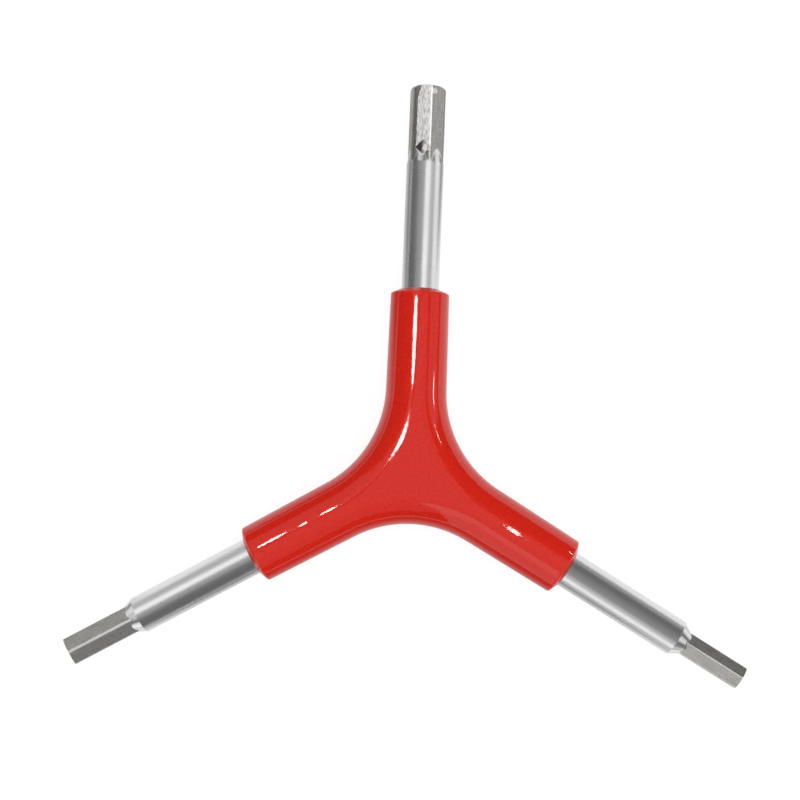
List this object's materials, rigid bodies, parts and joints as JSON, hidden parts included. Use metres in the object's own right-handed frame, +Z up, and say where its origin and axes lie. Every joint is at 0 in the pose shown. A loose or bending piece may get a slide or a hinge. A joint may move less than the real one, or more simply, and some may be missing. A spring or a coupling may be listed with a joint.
{
  "type": "three-way hex key",
  "caption": "Y-shaped hex key: plated round steel arms, each ending in a hex tip of its own size, joined in one moulded grip.",
  "frame": {"origin": "centre of the flat under the handle's hub, on the surface that the wrench lies on, straight below the point where the arms' axes meet", "axes": "+Z up, square to the plane of the three arms; +Y along the arm with the 6 mm hex; the 5 mm arm points to -X and -Y, the 4 mm arm to +X and -Y"},
  "size_m": [0.1231, 0.107, 0.011],
  "materials": {
    "red_pvc": "gloss",
    "plated_steel": "polished",
    "weld_steel": "satin"
  },
  "bodies": {
    "root": {"handle": "red_pvc", "large_hex_shaft": "plated_steel", "middle_hex_shaft": "plated_steel", "small_hex_shaft": "plated_steel", "weld_large_middle": "weld_steel", "weld_middle_small": "weld_steel", "weld_small_large": "weld_steel"}
  },
  "joints": []
}
